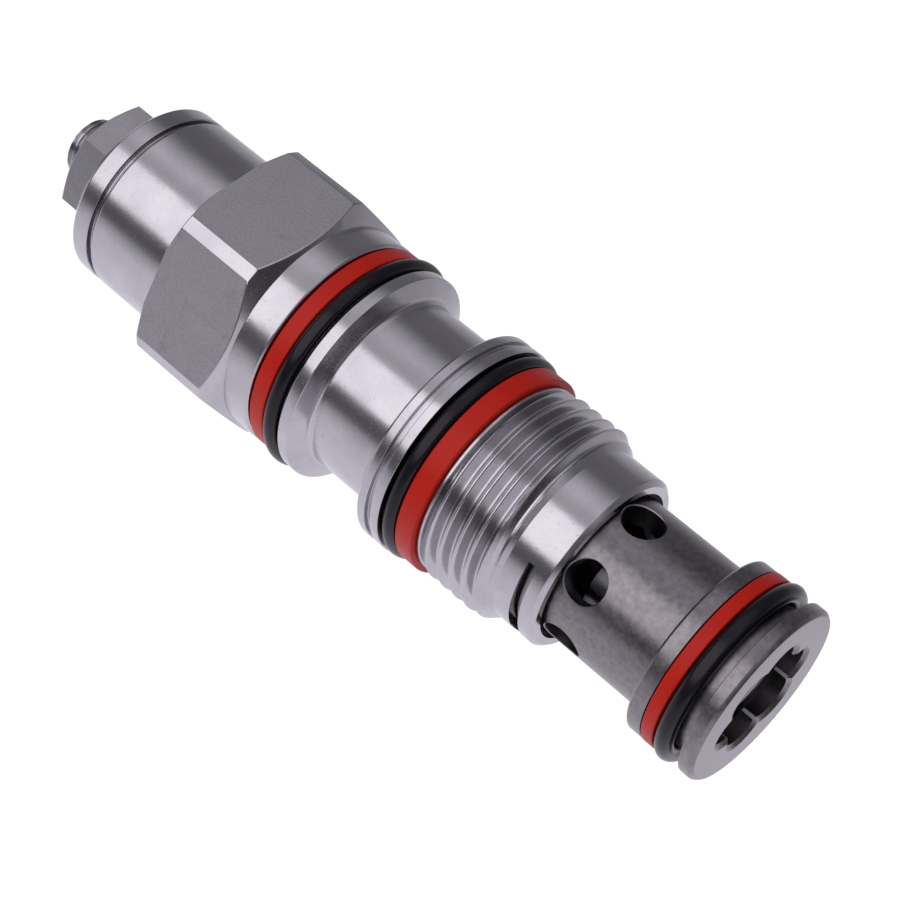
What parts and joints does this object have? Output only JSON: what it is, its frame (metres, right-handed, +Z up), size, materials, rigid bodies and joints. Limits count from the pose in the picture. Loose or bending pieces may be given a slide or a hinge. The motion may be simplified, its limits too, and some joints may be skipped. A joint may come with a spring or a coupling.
{
  "type": "screw-in cartridge valve",
  "caption": "Three-port screw-in counterbalance cartridge valve: hex body, pilot neck, thread, floating cross-holed nose, and an adjusting screw with locknut.",
  "frame": {"origin": "on the valve's axis, halfway between its two ends, which is the centre of its box", "axes": "+X along the axis towards the nose, +Z up through one wrench flat, so that the opposite flat faces down"},
  "size_m": [0.1064, 0.032, 0.0286],
  "materials": {
    "zinc_steel": "bright zinc-plated turned steel",
    "hard_steel": "dark heat-treated turned steel, satin",
    "ground_steel": "ground hardened steel",
    "spring_steel": "oiled spring steel wire",
    "black_nitrile": "oiled black nitrile rubber",
    "red_polyurethane": "satin red polyurethane"
  },
  "bodies": {
    "valve_body": {"hex_body": "zinc_steel", "end_cap": "zinc_steel", "sleeve_retainer": "spring_steel", "collar_backup_ring": "red_polyurethane", "collar_o_ring": "black_nitrile", "land_o_ring": "black_nitrile", "land_backup_ring": "red_polyurethane"},
    "locknut": {"locknut": "zinc_steel"},
    "adjuster": {"rear_spring_seat": "ground_steel", "adjuster_o_ring": "black_nitrile", "main_spring": "spring_steel"},
    "adjusting_screw": {"adjusting_screw": "zinc_steel"},
    "poppet_stack": {"front_spring_seat": "ground_steel", "pilot_piston": "ground_steel", "piston_o_ring": "black_nitrile", "piston_backup_ring": "red_polyurethane", "stem_o_ring": "black_nitrile", "relief_poppet": "ground_steel"},
    "floating_nose": {"nose_sleeve": "hard_steel", "nose_backup_ring": "red_polyurethane", "nose_o_ring": "black_nitrile", "check_spring": "spring_steel"},
    "check": {"check_poppet": "ground_steel"}
  },
  "joints": [
    {"name": "locknut_turn", "type": "hinge", "parent": "valve_body", "child": "locknut", "pos_m": [-0.04625, 0, 0], "axis": [-1, 0, 0], "range_deg": [0, 180]},
    {"name": "seat_travel", "type": "slide", "parent": "valve_body", "child": "adjuster", "axis": [1, 0, 0], "range_m": [-0.00125, 0.00225], "deforming": ["main_spring"]},
    {"name": "screw_turn", "type": "hinge", "parent": "adjuster", "child": "adjusting_screw", "pos_m": [-0.04325, 0, 0], "axis": [1, 0, 0], "range_deg": [-450, 810]},
    {"name": "poppet_lift", "type": "slide", "parent": "valve_body", "child": "poppet_stack", "axis": [-1, 0, 0], "range_m": [0, 0.0018], "stiffness_N_per_m": 800, "springref_m": -0.002},
    {"name": "nose_swivel", "type": "hinge", "parent": "valve_body", "child": "floating_nose", "pos_m": [0.03975, 0, 0], "axis": [1, 0, 0], "continuous": true},
    {"name": "check_lift", "type": "slide", "parent": "floating_nose", "child": "check", "axis": [1, 0, 0], "range_m": [0, 0.0022], "stiffness_N_per_m": 200, "springref_m": -0.002, "deforming": ["check_spring"]}
  ],
  "couplings": [
    {"joint": "screw_turn", "follows": "seat_travel", "rad_per_m": 6283.2}
  ]
}
